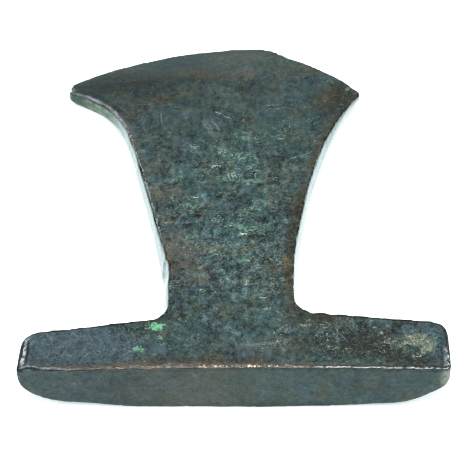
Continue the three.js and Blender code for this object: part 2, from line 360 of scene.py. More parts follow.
# Worn corners, each a plane through a place with a direction outwards, in millimetres,
# and how far outside that place the plane lies
WORN_CORNERS = [
    ((60.0, -69.0, 10.0), (0.74, -0.67, -0.05), -1.1),
    ((-57.7, -60.0, 16.6), (-0.50, 0.09, 0.86), 0.0),
    ((-60.0, -69.0, 17.2), (-0.70, -0.50, 0.50), -1.1),
    ((60.0, -63.0, 18.0), (0.62, 0.08, 0.78), -0.6),
    ((-50.0, 46.6, 0.0), (-0.65, -0.35, -0.67), -1.7),
]
for place, direction, offset in WORN_CORNERS:
    normal = np.array(direction) / np.linalg.norm(direction)
    beside = points / MM - np.array(place)
    in_reach = np.linalg.norm(beside, axis=1) < CORNER_REACH
    past = np.clip(beside @ normal - offset, 0, None) * in_reach
    points -= MM * past[:, None] * normal

# The step in the neck's left side, and the notch beside the nub at the left horn's tip
step_side = smooth_step(*STEP_X, across) * smooth_step(*STEP_START_Y, along)
points[:, 0] += STEP_DEPTH * MM * step_side * smooth_step(*STEP_END_Y, along)
from_notch = np.hypot(across - NOTCH_PLACE[0], along - NOTCH_PLACE[1])
notch = 1 - smooth_step(*NOTCH_WIDTH, from_notch)
points += MM * notch[:, None] * np.array(NOTCH_PUSH)

points[:, 2] = np.maximum(points[:, 2], cad_box[0].z)
axe.data.vertices.foreach_set("co", points.ravel())
axe.data.update()

# Where the patina differs: the middle (x, y) of a soft patch, its reach (x, y), both in
# millimetres, and its strength
BROWN = [
    ((15, -30), (9, 5), 0.8), ((21, -50), (12, 6), 0.9), ((-8, 55), (12, 4), 0.7),
    ((-24, 43), (14, 3.5), 0.6), ((-30, 39), (6, 4), 0.4), ((31, 43), (9, 11), 0.7),
    ((20, 57), (16, 4), 0.7), ((38, -62), (13, 6), 0.45), ((-6, -66.5), (34, 3), 0.6),
    ((36, 49), (12, 5), 0.35),
]
OCHRE = [
    ((-21.0, -18.5), (1.5, 3.6), 1.2), ((-20.2, -22.5), (1.4, 3.6), 1.2),
    ((-18.6, -26.5), (1.3, 3.4), 1.2), ((-18.2, -31), (0.9, 4), 0.9),
    ((16, -27), (3, 4), 0.7), ((18, -38), (2.4, 9), 0.5), ((28.5, 44), (2, 2.4), 0.4),
]
WARM = [
    ((-16.5, -25), (9, 13), 1.0), ((-20, 1), (8, 6), 0.7), ((-12, -32), (9, 7), 0.5),
    ((-22, 14), (5, 9), 0.4), ((2, 55), (9, 4), 0.75), ((12, -61), (16, 5), 0.35),
    ((-12, -69.5), (26, 2.5), 0.5), ((-4, 57), (26, 5), 0.4), ((0, 63), (16, 7), 0.5),
]
GREEN = [
    ((-2, 6), (22, 26), 0.9), ((0, -14), (18, 18), 1.0), ((-14, -4), (8, 8), 0.8),
    ((10, 28), (26, 18), 0.6), ((-18, -56), (16, 10), 0.7), ((8, -54), (18, 12), 0.6),
]
DARK = [
    ((32, -60), (20, 9), 0.8), ((38, 42), (14, 14), 0.8), ((36, -55), (22, 4), 0.6),
    ((-34, 50), (20, 7), 0.5), ((-33, 41), (12, 6), 0.3), ((-52, -66), (14, 4), 0.2),
    ((24, -48), (12, 7), 0.8), ((-18, -34), (5, 14), 0.4), ((0, 50), (30, 6), 0.35),
    ((21, -30), (7, 26), 1.0), ((-22, -50), (9, 6), 0.5), ((-38, -68), (30, 2), 0.4),
    ((49, -65.5), (13, 3.5), 0.9), ((19, -16), (6, 22), 1.0),
]
BLUE = [((-44, -61), (28, 12), 1.0), ((52, -55), (9, 5), 0.8), ((56, -59), (4, 7), 0.6)]
OLIVE = [((51, -58.2), (6.4, 3.6), 1.05), ((53.5, -61.2), (4, 4), 0.9), ((46, -60), (8, 4), 0.35)]
VERDIGRIS = [
    ((-21.4, -53.8), (2.6, 2.2), 1.0), ((-19.9, -53.2), (1.7, 1.1), 0.75),
    ((-20.6, -58.1), (1.3, 1.6), 0.7), ((-26.6, -62.3), (2.6, 1.7), 0.85),
]
SHADE = [
    ((-30, 51), (28, 10), 0.40), ((0, 32), (60, 26), 0.14), ((34, 40), (22, 18), 0.32),
    ((34, -60), (22, 12), 0.20), ((0, -60), (60, 14), 0.05), ((45, 46), (9, 9), 0.4),
    ((-16, 57), (15, 7), 0.22),
]
CRUMBS = [
    ((-11.0, -0.6), (1.3, 0.7), 1.0), ((-5.2, 12.4), (1.7, 1.0), 1.0),
    ((2.8, -16.6), (1.6, 0.8), 1.0), ((7.4, -29.6), (0.9, 1.1), 1.0),
    ((8.4, -42.4), (1.3, 0.6), 0.9), ((20.1, -53.0), (2.4, 0.9), 0.5),
    ((24.5, 24.0), (0.8, 0.6), 1.0), ((-3.4, 19.0), (1.8, 2.2), 0.45),
    ((-12.0, 21.5), (2.2, 1.6), 0.35), ((-9.0, -39.5), (1.6, 0.7), 0.6),
    ((0.0, 8.5), (3.0, 2.0), 0.5), ((50.8, -64.5), (1.6, 1.2), 0.8),
]
LEAVES = [
    ((5.9, -5.7), (2.2, 1.6), 1.0), ((3.8, -14.0), (4.2, 2.2), 1.0),
    ((14.2, 25.8), (2.4, 1.8), 0.9), ((2.7, 16.7), (4.5, 2.8), 0.9),
    ((2.4, 26.3), (4, 3), 0.6), ((-6.4, -16.0), (3.4, 2.4), 0.7), ((-2.4, 7.6), (4, 2.4), 0.8),
    ((-13, -4.5), (3.4, 2.2), 0.7), ((5.6, 6.0), (4, 2), 0.7), ((0, -27), (6, 3), 0.5),
    ((4, -41), (5, 2.4), 0.5), ((55, -58), (4, 3), 0.6), ((36, 46), (4, 3), 0.3),
]
# Scratches on the top: the middle (x, y), half the length and width, in millimetres,
# the angle in degrees from the x axis, and the strength
SCRATCHES = [
    ((-22.0, 34.8), (3.2, 0.26), 96, 0.35), ((-7.4, 29.5), (5.6, 1.3), -66, 0.22),
    ((-5.6, 31.5), (3.6, 0.6), -62, 0.26), ((-4.6, 37.0), (1.4, 0.34), -24, 0.8),
    ((-1.8, 35.1), (1.6, 0.30), -30, 0.6), ((19.4, 16.9), (2.2, 0.28), 23, 0.45),
    ((22.3, 18.5), (2.0, 0.28), 36, 0.5), ((11.9, 40.5), (2.6, 0.28), 8, 0.30),
    ((14.0, 39.0), (2.2, 0.26), 14, 0.25), ((-28.0, 41.0), (4.0, 0.26), 4, 0.22),
    ((-16.4, -35.8), (1.7, 0.20), 6, 0.4), ((-16.8, -36.6), (1.6, 0.20), 4, 0.3),
    ((-16.5, -37.4), (1.6, 0.20), 2, 0.4), ((-16.7, -38.2), (1.5, 0.20), 5, 0.3),
    ((7.5, -60.4), (6.0, 0.9), 8, 0.22), ((35.3, 48.4), (1.0, 0.8), 60, 0.55),
    ((30.5, -57.5), (3.0, 0.24), -52, 0.3), ((24.0, -56.0), (2.6, 0.24), 38, 0.3),
]
SCUFFS = [
    ((32, -57), (26, 9), 1.0), ((10, -60), (12, 6), 0.6), ((-46, -60), (20, 7), 0.6),
    ((10, -28), (12, 12), 0.5), ((-14, -26), (10, 10), 0.5),
]
HORN = [((-44, 44), (17, 15), 1.0)]
# The worn strips at the lug ends, where a lilac sheen and pale glints are painted
LUG_ENDS = [((-60, -62.5), (7, 8.5), 1.0), ((60.5, -64.5), (5, 6), 0.45)]
# Painted glints: pale highlights painted on the arrises where bare metal shows
GLINTS = [
    ((-24, -2), (6, 18), 0.30), ((-55, -56), (6, 4), 0.8), ((-20, -42), (6, 10), 0.3),
    ((18, -38), (6, 10), 0.3), ((-32, 26), (9, 13), 0.7), ((59.5, -64.5), (3, 5), 1.0),
]
FACET = ((60, -69), (3.4, 2.6))
FRESH_CRUST = ((-21, -53.8), (6, 4))

# Rubbed strips along the arrises, in millimetres from them
right_rim = (1 - smooth_step(*RIGHT_RIM_WIDTH, from_side)) * (from_side > -1)
right_rim *= smooth_step(*RIGHT_RIM_X, across) * smooth_step(*RIGHT_RIM_Y, along)
left_rim = (1 - smooth_step(*LEFT_RIM_WIDTH, from_side)) * (from_side > -0.2)
left_rim *= follow(along, LEFT_RIM) * (across < 0)
lug_rim = 1 - smooth_step(*LUG_RIM_WIDTH, np.abs(from_side))
lug_rim *= 1 - smooth_step(*LUG_RIM_Y, along)

# The strength of the whole mottle and of its finest noise, both less towards the edge
on_left_lug = patch(points, *LEFT_LUG)
on_right_lug = patch(points, *RIGHT_LUG)
contrast = follow(along, CONTRAST) * (1 + 0.3 * on_right_lug - 0.3 * on_left_lug)
grain = follow(along, GRAIN) * (1 + 0.45 * on_right_lug + 0.7 * on_left_lug)

# The walls shine least at the horn, on the lugs and just below the worn slope. The same
# mask lays the walls' pale film, which is partly a painted reflection.
gloss = on_wall * (1 - 0.85 * patches(points, HORN)) * smooth_step(*GLOSS_Y, along)
gloss *= 1 - np.clip(worn, 0, 1) * smooth_step(*DULL_BESIDE_WORN, from_side)
facet = patch(points, *FACET) * smooth_step(*FACET_HEAD, below_line)
facet *= 1 - smooth_step(*FACET_FOOT, below_line)
butt_foot = 0.5 * smooth_step(*BUTT_FOOT, below_line)
ragged = noise_at(points, RAGGED_WAVE, 8)

distances = {
    "from_side": from_side,
    "from_lip": from_lip - follow(across, LIP_DROP),
}
marks = {
    "top": on_top,
    "wall": on_wall,
    "gloss": gloss,
    "facet": facet,
    "smooth_skin": smooth_skin,
    "contrast": contrast,
    "grain": grain,
    "silver": worn,
    "horn_rim": follow(across, HORN_RIM) * (along > 20),
    "lug_rim": lug_rim,
    "lip_brown": follow(across, LIP_BROWN_PARTS),
    "lip_bright": follow(across, LIP_BRIGHT_PARTS),
    "lip_lilac": follow(across, LIP_LILAC_PARTS),
    "lip_gold": follow(across, LIP_GOLD_PARTS),
    "brown": np.maximum(patches(points, BROWN), right_rim) * np.clip(1.0 + ragged, 0, 1.3),
    "warm": np.maximum(patches(points, WARM), left_rim) * np.clip(1.0 + ragged, 0, 1.3),
    "green": patches(points, GREEN) * np.clip(0.9 + ragged, 0, 1.3),
    "shade": np.maximum(patches(points, SHADE), butt_foot),
    "dark": patches(points, DARK),
    "blue": patches(points, BLUE),
    "horn": patches(points, HORN),
    "lug_end": patches(points, LUG_ENDS),
    "glints": patches(points, GLINTS),
    "fresh_crust": patch(points, *FRESH_CRUST),
    "ochre": patches(points, OCHRE) * on_top,
    "leaves": patches(points, LEAVES) * on_top,
    "crumbs": patches(points, CRUMBS) * on_top,
    "scuffs": patches(points, SCUFFS) * on_top,
    "olive": patches(points, OLIVE) * on_top,
    "verdigris": patches(points, VERDIGRIS) * on_top,
}
for name, values in distances.items():
    store(axe.data, name, np.clip(values, -FAR, FAR))
for name, values in marks.items():
    store(axe.data, name, np.clip(values, 0, 1))


# Patina
# Dark slate green over the whole casting, with brown where it is rubbed, teal and
# green corrosion in flecks, pale scratches, mint crusts, and bare metal on arrises.
# Painted highlights, sheen and painted shade lie along the arrises, and the walls carry
# a pale film that is partly a painted reflection.

SLATE = [
    (0.08, (0.001, 0.002, 0.002, 1)),
    (0.33, (0.013, 0.022, 0.023, 1)),
    (0.50, (0.031, 0.050, 0.050, 1)),
    (0.66, (0.052, 0.079, 0.077, 1)),
    (0.82, (0.090, 0.130, 0.120, 1)),
    (1.00, (0.19, 0.26, 0.23, 1)),
]
NEARLY_BLACK = (0.002, 0.003, 0.003, 1)
SMOOTH_SLATE = (0.031, 0.046, 0.044, 1)
BLUE_TINT = (0.84, 0.96, 1.16, 1)
LUG_TINT = (1.22, 1.25, 1.50, 1)
GREEN_TINT = (0.86, 1.05, 0.97, 1)
BROWN_TINT = (1.32, 1.02, 0.80, 1)
TEAL = (0.020, 0.080, 0.066, 1)
BROWN_PATINA = (0.032, 0.028, 0.011, 1)
OCHRE_PATINA = (0.080, 0.055, 0.029, 1)
WARM_PATINA = (0.078, 0.073, 0.060, 1)
OCHRE_SPOT = (0.12, 0.084, 0.040, 1)
BRIGHT_LEAF = (0.12, 0.27, 0.19, 1)
PALE_TEAL = (0.13, 0.21, 0.19, 1)
SCRATCHED = (0.28, 0.36, 0.36, 1)
UMBER = (0.010, 0.009, 0.005, 1)
PALE = (0.36, 0.43, 0.36, 1)
CRUMB = (0.42, 0.52, 0.42, 1)
MINT = (0.17, 0.47, 0.26, 1)
DULL_MINT = (0.12, 0.25, 0.17, 1)
LEAF = (0.04, 0.17, 0.09, 1)
OLIVE_DUST = (0.16, 0.185, 0.11, 1)
PALE_DUST = (0.30, 0.34, 0.28, 1)
# A pale film on the walls: partly patina, partly a painted reflection of the bright table
WALL_FILM_AND_SHEEN = (0.15, 0.29, 0.29, 1)
FACET_FILM = (0.19, 0.20, 0.16, 1)
OLIVE_WALL = (0.21, 0.23, 0.11, 1)
SILVER = (0.24, 0.28, 0.26, 1)
# A lilac sheen painted on rounded arrises: a painted highlight
LILAC_SHEEN = (0.19, 0.18, 0.21, 1)
RIM_BLUE = (0.25, 0.30, 0.34, 1)
LIP_BROWN = (0.082, 0.060, 0.044, 1)
LIP_FLECK = (0.30, 0.25, 0.22, 1)
BLUE_WHITE = (0.46, 0.53, 0.58, 1)
# Bare bronze painted bright as gold glints: worn metal and painted highlight
BARE_GOLD_GLINT = (0.66, 0.58, 0.45, 1)

# The mottle's noises, each with a size in millimetres and a strength, and the finest size
COARSE_MOTTLE = [(9, 0.48), (3.4, 0.78), (1.5, 1.20)]
FINE_MOTTLE = 0.6
MOTTLE_DETAIL, MOTTLE_ROUGHNESS = 2.0, 0.6

# How the noises are bent, by a size and a reach in millimetres, and how they are stretched
CURVING = (2.4, 1.6)
SCRATCH_CURVING = (5, 1.2)
LENGTHENED = (1.0, 0.72, 1.0)
STREAKED = (0.4, 1.4, 1.0)

# Noises that break up the coats: what they lie on, their size in millimetres, the two
# levels between which they come in, detail, roughness and seed
CLOUDS = {
    "zones": ("straight", 7.0, 0.35, 0.65, 3.0, 0.7, 6.3),
    "greenish": ("curved", 6.0, 0.38, 0.62, 5.0, 0.8, 7.1),
    "brownish": ("curved", 7.0, 0.46, 0.66, 5.0, 0.8, 8.7),
    "teal": ("curved", 2.0, 0.50, 0.60, 4.0, 0.8, 0.3),
    "rust": ("streaked", 1.1, 0.36, 0.56, 3.0, 0.8, 1.1),
    "ochre": ("straight", 1.6, 0.50, 0.64, 3.0, 0.7, 1.9),
    "warmth": ("curved", 1.2, 0.36, 0.60, 3.0, 0.8, 2.9),
    "spots": ("straight", 1.2, 0.38, 0.54, 3.0, 0.8, 3.6),
    "gloom": ("curved", 2.2, 0.30, 0.60, 3.0, 0.7, 5.3),
    "clusters": ("straight", 5.0, 0.42, 0.60, 3.0, 0.6, 3.1),
    "flecks": ("curved", 1.3, 0.60, 0.66, 3.0, 0.8, 4.3),
    "pale_flecks": ("straight", 0.8, 0.66, 0.72, 2.0, 0.6, 5.9),
    "specks": ("curved", 1.1, 0.58, 0.68, 2.0, 0.7, 6.8),
    "pits": ("straight", 0.8, 0.62, 0.68, 2.0, 0.6, 8.1),
    "bright_leaves": ("curved", 1.4, 0.50, 0.58, 3.0, 0.8, 2.4),
    "scratch_breaks": ("straight", 0.6, 0.34, 0.62, 3.0, 0.8, 7.2),
    "crumb": ("straight", 0.7, 0.50, 0.58, 2.0, 0.6, 4.9),
    "dust_edge": ("straight", 3.0, 0.30, 0.70, 4.0, 0.7, 6.7),
    "dust_tone": ("straight", 1.8, 0.42, 0.60, 3.0, 0.7, 2.7),
    "dust_grains": ("curved", 0.5, 0.40, 0.60, 3.0, 0.95, 6.1),
    "crust": ("straight", 1.0, 0.30, 0.70, 4.0, 0.75, 7.7),
    "film": ("straight", 4.0, 0.32, 0.64, 5.0, 0.75, 0.0),
    "facet": ("straight", 1.4, 0.25, 0.60, 3.0, 0.7, 9.9),
    "olive_spots": ("straight", 3.0, 0.38, 0.60, 3.0, 0.7, 2.2),
    "outline_breaks": ("straight", 1.8, 0.32, 0.50, 3.0, 0.7, 8.9),
    "rim_hue": ("straight", 3.6, 0.42, 0.58, 2.0, 0.6, 1.6),
    "rim_tone": ("straight", 2.4, 0.35, 0.65, 4.0, 0.6, 0.0),
    "silver": ("straight", 1.6, 0.36, 0.60, 4.0, 0.6, 0.0),
    # The next three break up the painted glints and highlights on bare metal
    "end_glints": ("straight", 1.7, 0.46, 0.54, 2.0, 0.6, 3.9),
    "glints": ("straight", 0.9, 0.54, 0.62, 2.0, 0.6, 7.9),
    "bare_metal_glint": ("straight", 1.1, 0.40, 0.55, 2.0, 0.6, 5.5),
    "lip_rubbing": ("streaked", 1.2, 0.36, 0.56, 3.0, 0.8, 9.3),
    "lip_flecks": ("streaked", 0.7, 0.54, 0.62, 3.0, 0.8, 5.1),
    "lilac": ("straight", 1.6, 0.34, 0.56, 3.0, 0.7, 6.6),
    "line_breaks": ("straight", 1.7, 0.40, 0.52, 3.0, 0.7, 1.3),
    "gold": ("straight", 1.0, 0.53, 0.64, 3.0, 0.8, 9.1),
    "polish": ("straight", 1.2, 0.35, 0.65, 4.0, 0.6, 0.0),
}
# Distances from the arrises that waver: what they start from, and the noises added, each
# with a size and a reach in millimetres
WAVERS = {
    "side": ("from_side", [(2.2, 0.7), (0.8, 0.5)]),
    "lip": ("from_lip", [(3.4, 0.5), (0.9, 0.4)]),
    "loose_lip": ("from_lip", [(3.0, 1.6), (1.0, 1.2)]),
}
# Bands along the arrises: the distance used, its limits in millimetres, below zero on the
# wall, and how soft the limits are
BANDS = {
    "outline": ("side", -0.7, 0.45, 0.2),
    "lug_outline": ("side", -1.2, 0.9, 0.3),
    # Painted shade beside and under the left horn's rim, then the rim's painted highlight
    "beside_rim": ("side", 0.9, 2.6, 0.6),
    "under_rim": ("side", -1.2, -0.6, 0.2),
    "rim": ("side", -0.35, 0.65, 0.3),
    "below_worn": ("side", -1.5, -0.35, 0.15),
    "beside_worn": ("side", 0.45, 0.8, 0.15),
    "silver": ("side", -0.3, 0.35, 0.15),
    "inner_line": ("side", 1.9, 2.6, 0.25),
    "worn_end": ("side", 0.5, 1.6, 0.25),
    "glints": ("side", -0.3, 0.7, 0.2),
    # Painted shade under the butt's lip
    "under_lip_shade": ("lip", -1.1, -0.45, 0.15),
    "lilac": ("lip", -0.12, 0.22, 0.2),
    "dark_line": ("lip", 0.35, 0.9, 0.2),
    "white_line": ("lip", -0.22, 0.26, 0.14),
    "gold": ("lip", -0.2, 0.7, 0.2),
    "brown": ("loose_lip", -0.6, 1.6, 0.4),
    "flecks": ("loose_lip", -0.3, 0.9, 0.3),
}
# Hairlines: the size of their curls, their width, the size of their breaks, the level at
# which they break, and a seed
HAIRLINES = [
    (2.6, 0.040, 0.8, 0.57, 0.4),
    (1.3, 0.060, 0.7, 0.57, 1.7),
    (4.5, 0.020, 2.4, 0.60, 3.3),
]
BREAK_SOFTNESS = 0.05
# Where a scratch begins to taper, as a share of half its length and half its width
TAPER_ALONG, TAPER_ACROSS = 0.5, 0.3

DUST_LEVELS = (0.75, 1.6)
CRUST_LEVELS = (0.95, 1.15)

METAL_OF_BARE, METAL_OF_WALL = 0.5, 0.6
ROUGHNESS = (0.46, 0.64)
BARE_ROUGHER, GLOSS_ROUGHER, CRUST_ROUGHER, BELOW_WORN_ROUGHER = -0.15, -0.20, 0.30, 0.40
COAT_ROUGHNESS = 0.06
SPECULAR = 0.18
PALE_HEIGHT, CRUST_HEIGHT = 0.30, 0.8
BUMP_STRENGTH = 0.6
BUMP_DEPTH = 0.12 * MM


def add(tree, kind, links=None, **settings):
    node = tree.nodes.new(kind)
    for key, value in settings.items():
        setattr(node, key, value)
    for socket, source in (links or {}).items():
        if isinstance(source, bpy.types.NodeSocket):
            tree.links.new(source, node.inputs[socket])
        else:
            node.inputs[socket].default_value = source
    return node


def calculate(tree, operation, *sources):
    return add(tree, "ShaderNodeMath", dict(enumerate(sources)), operation=operation).outputs[0]


def move(tree, operation, vector, by):
    return add(tree, "ShaderNodeVectorMath", {0: vector, 1: by}, operation=operation).outputs[0]


def draw_noise(tree, vector, size, **settings):
    links = {"Vector": vector, "Scale": 1 / (size * MM)}
    for name, value in settings.items():
        links[name.capitalize()] = value
    return add(tree, "ShaderNodeTexNoise", links)


def times(tree, *sources):
    product = sources[0]
    for source in sources[1:]:
        product = calculate(tree, "MULTIPLY", product, source)
    return product


def either(tree, first, second):
    return calculate(tree, "MAXIMUM", first, second)


def add_share(tree, value, share, total):
    return calculate(tree, "MULTIPLY_ADD", value, share, total)


def spread(tree, value, low, high):
    # A value from 0 to 1 spread out from low to high
    return calculate(tree, "MULTIPLY_ADD", value, high - low, low)


def between(tree, value, low, high):
    links = {"Value": value, "From Min": low, "From Max": high}
    return add(tree, "ShaderNodeMapRange", links, interpolation_type="SMOOTHSTEP").outputs[0]


def mix(tree, factor, below, above, blend="MIX"):
    links = {0: factor, 6: below, 7: above}
    return add(tree, "ShaderNodeMix", links, data_type="RGBA", blend_type=blend).outputs[2]


def lay(tree, below, paint, *limits, cover=1.0):
    # A paint over what is below, where all the limits let it, no stronger than its cover
    if cover < 1:
        limits = (*limits, cover)
    return mix(tree, times(tree, *limits), below, paint)


def clouds(tree, vector, size, low, high, detail, roughness, seed):
    # Noise of a size in millimetres, cut between two levels into soft patches
    moved = move(tree, "ADD", vector, (seed, seed, seed))
    texture = draw_noise(tree, moved, size, detail=detail, roughness=roughness)
    return between(tree, texture.outputs[0], low, high)


def mottle(tree, vector, contrast, layers):
    # Noises of several sizes in millimetres, each with a strength, added about one half
    total = 0.0
    for number, (size, strength) in enumerate(layers):
        moved = move(tree, "ADD", vector, (number, 2 * number, 0))
        texture = draw_noise(tree, moved, size, detail=MOTTLE_DETAIL, roughness=MOTTLE_ROUGHNESS)
        centred = calculate(tree, "SUBTRACT", texture.outputs[0], 0.5)
        total = add_share(tree, centred, strength, total)
    return add_share(tree, total, contrast, 0.5)


def band(tree, value, low, high, soft):
    # 1 where a distance in millimetres lies between two values, with soft limits
    rising = between(tree, value, low - soft, low + soft)
    falling = between(tree, value, high - soft, high + soft)
    return calculate(tree, "SUBTRACT", rising, falling)


def waver(tree, vector, distance, layers):
    # A distance in millimetres that wavers by noises, each with a size and a reach
    for number, (size, reach) in enumerate(layers):
        texture = draw_noise(tree, move(tree, "ADD", vector, (0, number, 3)), size, detail=0.0)
        centred = calculate(tree, "SUBTRACT", texture.outputs[0], 0.5)
        distance = add_share(tree, centred, reach, distance)
    return distance


def bend(tree, vector, size, reach):
    # The vector pushed about by noise, so that what is drawn on it curves
    push = draw_noise(tree, vector, size, detail=1.0).outputs["Color"]
    centred = move(tree, "SUBTRACT", push, (0.5, 0.5, 0.5))
    links = {0: centred, "Scale": reach * MM}
    scaled = add(tree, "ShaderNodeVectorMath", links, operation="SCALE").outputs[0]
    return move(tree, "ADD", vector, scaled)


def make_hairlines_group():
    # Short curved hairlines: where one noise crosses its middle, broken by another noise
    group = bpy.data.node_groups.new("hairlines", "ShaderNodeTree")
    group.interface.new_socket("Vector", in_out="INPUT", socket_type="NodeSocketVector")
    for name in ("Curl", "Width", "Break", "Cut"):
        group.interface.new_socket(name, in_out="INPUT", socket_type="NodeSocketFloat")
    group.interface.new_socket("Mask", in_out="OUTPUT", socket_type="NodeSocketFloat")
    given = group.nodes.new("NodeGroupInput").outputs
    vector = given["Vector"]
    curl_scale = calculate(group, "DIVIDE", 1 / MM, given["Curl"])
    links = {"Vector": vector, "Scale": curl_scale, "Detail": 0.0}
    curls = add(group, "ShaderNodeTexNoise", links).outputs[0]
    off_middle = calculate(group, "ABSOLUTE", calculate(group, "SUBTRACT", curls, 0.5))
    line = calculate(group, "SUBTRACT", 1.0, between(group, off_middle, 0.0, given["Width"]))
    break_scale = calculate(group, "DIVIDE", 1 / MM, given["Break"])
    links = {"Vector": vector, "Scale": break_scale, "Detail": 1.0}
    breaks = add(group, "ShaderNodeTexNoise", links).outputs[0]
    over = calculate(group, "SUBTRACT", breaks, given["Cut"])
    mask = times(group, line, between(group, over, 0.0, BREAK_SOFTNESS))
    result = group.nodes.new("NodeGroupOutput")
    group.links.new(mask, result.inputs["Mask"])
    return group


def draw_hairlines(tree, group, vector, curl, width, breaks, cut, seed):
    node = add(tree, "ShaderNodeGroup", node_tree=group)
    tree.links.new(move(tree, "ADD", vector, (seed, seed, seed)), node.inputs["Vector"])
    for name, value in (("Curl", curl), ("Width", width), ("Break", breaks), ("Cut", cut)):
        node.inputs[name].default_value = value
    return node.outputs["Mask"]


def make_scratch_group():
    # A scratch in its own coordinates, where it reaches from -1 to 1 both ways
    group = bpy.data.node_groups.new("scratch", "ShaderNodeTree")
    group.interface.new_socket("Vector", in_out="INPUT", socket_type="NodeSocketVector")
    group.interface.new_socket("Mask", in_out="OUTPUT", socket_type="NodeSocketFloat")
    given = group.nodes.new("NodeGroupInput").outputs["Vector"]
    parts = add(group, "ShaderNodeSeparateXYZ", {0: given}).outputs
    lengthways = between(group, calculate(group, "ABSOLUTE", parts["X"]), 1.0, TAPER_ALONG)
    crossways = between(group, calculate(group, "ABSOLUTE", parts["Y"]), 1.0, TAPER_ACROSS)
    result = group.nodes.new("NodeGroupOutput")
    group.links.new(times(group, lengthways, crossways), result.inputs["Mask"])
    return group


def draw_scratches(tree, vector):
    group = make_scratch_group()
    total = 0.0
    for (x, y), (half_length, half_width), angle, strength in SCRATCHES:
        links = {
            "Vector": vector,
            "Location": (x * MM, y * MM, 0),
            "Rotation": (0, 0, math.radians(angle)),
            "Scale": (half_length * MM, half_width * MM, 1),
        }
        placed = add(tree, "ShaderNodeMapping", links, vector_type="TEXTURE")
        scratch = add(tree, "ShaderNodeGroup", node_tree=group)
        tree.links.new(placed.outputs[0], scratch.inputs["Vector"])
        total = either(tree, total, times(tree, scratch.outputs["Mask"], strength))
    return total


def lay_slate(tree, vectors, mask, cloud):
    # Slate from nearly black to pale at every scale, calmer on the smooth skin
    slate = add(tree, "ShaderNodeValToRGB")
    stops = slate.color_ramp.elements
    stops[0].position, stops[0].color = SLATE[0]
    stops[1].position, stops[1].color = SLATE[-1]
    for position, tint in SLATE[1:-1]:
        stops.new(position).color = tint
    fine = times(tree, mask["grain"], spread(tree, cloud["zones"], 0.7, 1.8))
    layers = [*COARSE_MOTTLE, (FINE_MOTTLE, fine)]
    tone = mottle(tree, vectors["lengthened"], mask["contrast"], layers)
    tree.links.new(tone, slate.inputs[0])
    colour = mix(tree, mask["smooth_skin"], slate.outputs[0], SMOOTH_SLATE)
    hue = mix(tree, cloud["greenish"], BLUE_TINT, GREEN_TINT)
    hue = mix(tree, cloud["brownish"], hue, BROWN_TINT)
    hue = mix(tree, mask["blue"], hue, LUG_TINT)
    colour = mix(tree, 1.0, colour, hue, "MULTIPLY")
    return mix(tree, mask["shade"], colour, NEARLY_BLACK), tone


def lay_stains(tree, colour, mask, cloud):
    # Teal, brown, ochre and umber in ragged patches
    colour = lay(tree, colour, TEAL, cloud["teal"], mask["green"], cover=0.48)
    brown = mix(tree, cloud["ochre"], BROWN_PATINA, OCHRE_PATINA)
    colour = lay(tree, colour, brown, cloud["rust"], mask["brown"], cover=0.85)
    colour = lay(tree, colour, WARM_PATINA, cloud["warmth"], mask["warm"], cover=0.8)
    colour = lay(tree, colour, OCHRE_SPOT, mask["ochre"], cloud["spots"])
    return lay(tree, colour, UMBER, mask["dark"], cloud["gloom"], cover=0.85)


def lay_flecks(tree, colour, vectors, mask, cloud):
    # Green and pale flecks in clusters, short curved hairlines, pale specks and pits
    clustered = spread(tree, cloud["clusters"], 0.2, 1.0)
    colour = lay(tree, colour, LEAF, cloud["flecks"], mask["green"], clustered, cover=0.8)
    pale = cloud["pale_flecks"]
    group = make_hairlines_group()
    for settings in HAIRLINES:
        pale = either(tree, pale, draw_hairlines(tree, group, vectors["curved"], *settings))
    shown = times(tree, spread(tree, mask["green"], 0.2, 0.7), mask["contrast"])
    shown = add_share(tree, mask["scuffs"], 0.6, shown)
    clustered = spread(tree, cloud["clusters"], 0.15, 1.0)
    pale = times(tree, pale, shown, 0.85, clustered, mask["rough_skin"])
    colour = mix(tree, pale, colour, PALE)
    specks = times(tree, cloud["specks"], mask["rough_skin"], mask["top"], cloud["clusters"])
    colour = lay(tree, colour, PALE_TEAL, specks, cover=0.3)
    colour = lay(tree, colour, NEARLY_BLACK, cloud["pits"], mask["rough_skin"], mask["grain"])
    colour = lay(tree, colour, BRIGHT_LEAF, cloud["bright_leaves"], mask["leaves"], cover=0.8)
    return colour, pale


def lay_crusts(tree, colour, vectors, mask, cloud):
    # Scratches, crumbs of crust, olive dust on the right lug, and the verdigris
    scratches = draw_scratches(tree, bend(tree, vectors["straight"], *SCRATCH_CURVING))
    colour = lay(tree, colour, SCRATCHED, scratches, mask["top"], cloud["scratch_breaks"])
    crumb = times(tree, cloud["crumb"], mask["crumbs"])
    colour = mix(tree, crumb, colour, CRUMB)
    dusty = calculate(tree, "ADD", mask["olive"], cloud["dust_edge"])
    dusty = between(tree, dusty, *DUST_LEVELS)
    colour = lay(tree, colour, UMBER, dusty, cover=0.45)
    dust = mix(tree, cloud["dust_tone"], OLIVE_DUST, PALE_DUST)
    colour = lay(tree, colour, dust, dusty, cloud["dust_grains"], cover=0.95)
    crust = calculate(tree, "ADD", mask["verdigris"], cloud["crust"])
    crust = between(tree, crust, *CRUST_LEVELS)
    mint = mix(tree, mask["fresh_crust"], DULL_MINT, MINT)
    colour = mix(tree, crust, colour, mix(tree, cloud["crust"], LEAF, mint))
    return colour, crumb, crust


def lay_wall_film(tree, colour, mask, cloud):
    # The walls: a pale film, partly patina and partly a painted reflection of the bright
    # table, that thins towards the horn, where it is olive in spots
    colour = lay(tree, colour, WALL_FILM_AND_SHEEN, mask["gloss"], spread(tree, cloud["film"], 0.16, 0.71))
    colour = lay(tree, colour, FACET_FILM, cloud["facet"], mask["facet"])
    horn_wall = times(tree, mask["wall"], mask["horn"])
    colour = lay(tree, colour, WALL_FILM_AND_SHEEN, horn_wall, cover=0.22)
    return lay(tree, colour, OLIVE_WALL, cloud["olive_spots"], horn_wall, cover=0.75)


